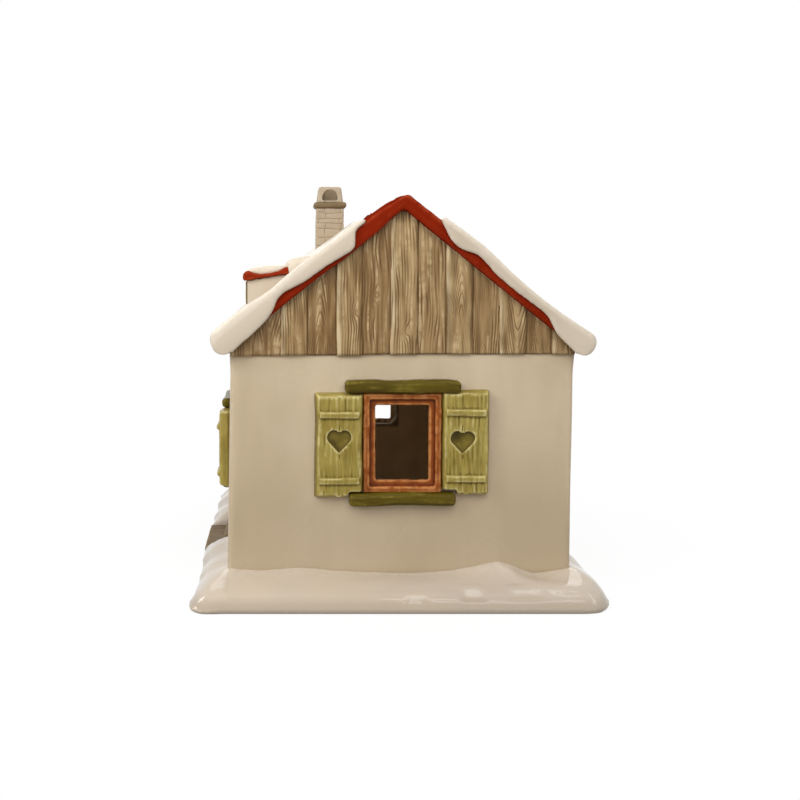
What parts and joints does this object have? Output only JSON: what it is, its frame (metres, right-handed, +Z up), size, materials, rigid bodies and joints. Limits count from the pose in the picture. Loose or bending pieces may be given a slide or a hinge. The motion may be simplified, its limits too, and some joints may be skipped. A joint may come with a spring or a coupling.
{
  "type": "lit ceramic village house",
  "caption": "Glazed ceramic village house with snow-laden red roof, carved gable boards, heart-cut shutters, dormer and chimney, lit from inside by a battery lamp that pulls out of its base",
  "frame": {"origin": "centre of the base's outline, on the table", "axes": "+X from the door side to the back, +Y along the ridge from the right gable to the left gable, +Z up"},
  "size_m": [0.146, 0.166, 0.151],
  "materials": {
    "glazed_wall": "gloss",
    "glazed_snow": "gloss",
    "red_glaze": "gloss",
    "wood_glaze": "gloss",
    "green_glaze": "gloss",
    "shutter_glaze": "gloss",
    "frame_glaze": "gloss",
    "stone_glaze": "gloss",
    "chimney_glaze": "gloss",
    "housing_plastic": "matte",
    "grip_rubber": "matte",
    "diffuser_plastic": "matte",
    "lamp_resin": "gloss",
    "circuit_green": "satin",
    "bright_steel": "satin",
    "switch_black": "matte",
    "knob_brass": "gloss"
  },
  "bodies": {
    "house": {"back_left_shutter": "shutter_glaze", "back_lintel": "green_glaze", "back_right_shutter": "shutter_glaze", "back_sill": "green_glaze", "back_wall": "glazed_wall", "back_window_frame": "frame_glaze", "chimney_cap": "chimney_glaze", "chimney_collar": "stone_glaze", "chimney_stack": "chimney_glaze", "door_frame": "frame_glaze", "door_knob": "knob_brass", "door_leaf": "green_glaze", "doorstep": "stone_glaze", "dormer_body": "glazed_wall", "dormer_roof": "red_glaze", "dormer_shutters": "shutter_glaze", "dormer_snow": "glazed_snow", "dormer_window_frame": "frame_glaze", "front_left_left_shutter": "shutter_glaze", "front_left_lintel": "green_glaze", "front_left_right_shutter": "shutter_glaze", "front_left_sill": "green_glaze", "front_left_window_frame": "frame_glaze", "front_right_left_shutter": "shutter_glaze", "front_right_lintel": "green_glaze", "front_right_right_shutter": "shutter_glaze", "front_right_sill": "green_glaze", "front_right_window_frame": "frame_glaze", "front_wall": "glazed_wall", "left_gable_boards": "wood_glaze", "left_gable_left_shutter": "shutter_glaze", "left_gable_lintel": "green_glaze", "left_gable_right_shutter": "shutter_glaze", "left_gable_sill": "green_glaze", "left_gable_wall": "glazed_wall", "left_gable_window_frame": "frame_glaze", "path_slab": "stone_glaze", "right_gable_boards": "wood_glaze", "right_gable_left_shutter": "shutter_glaze", "right_gable_lintel": "green_glaze", "right_gable_right_shutter": "shutter_glaze", "right_gable_sill": "green_glaze", "right_gable_wall": "glazed_wall", "right_gable_window_frame": "frame_glaze", "roof_shell": "red_glaze", "roof_snow_back": "glazed_snow", "roof_snow_front": "glazed_snow", "snow_base": "glazed_snow"},
    "light_unit": {"light_housing": "housing_plastic", "grip_ring": "grip_rubber", "light_cover": "housing_plastic", "cover_screws": "bright_steel", "circuit_board": "circuit_green", "led_lamp": "lamp_resin", "light_diffuser": "diffuser_plastic", "coin_cell": "bright_steel", "battery_contacts": "bright_steel", "switch_body": "switch_black"},
    "lid": {"battery_lid": "housing_plastic"},
    "switch": {"switch_slider": "switch_black"}
  },
  "joints": [
    {"name": "light_pull", "type": "slide", "parent": "house", "child": "light_unit", "axis": [0, 0, -1], "range_m": [0, 0.03]},
    {"name": "lid_turn", "type": "hinge", "parent": "light_unit", "child": "lid", "pos_m": [0.0015, 0, 0.001], "axis": [0, 0, 1], "range_deg": [0, 40]},
    {"name": "switch_slide", "type": "slide", "parent": "light_unit", "child": "switch", "axis": [1, 0, 0], "range_m": [0, 0.003]}
  ]
}
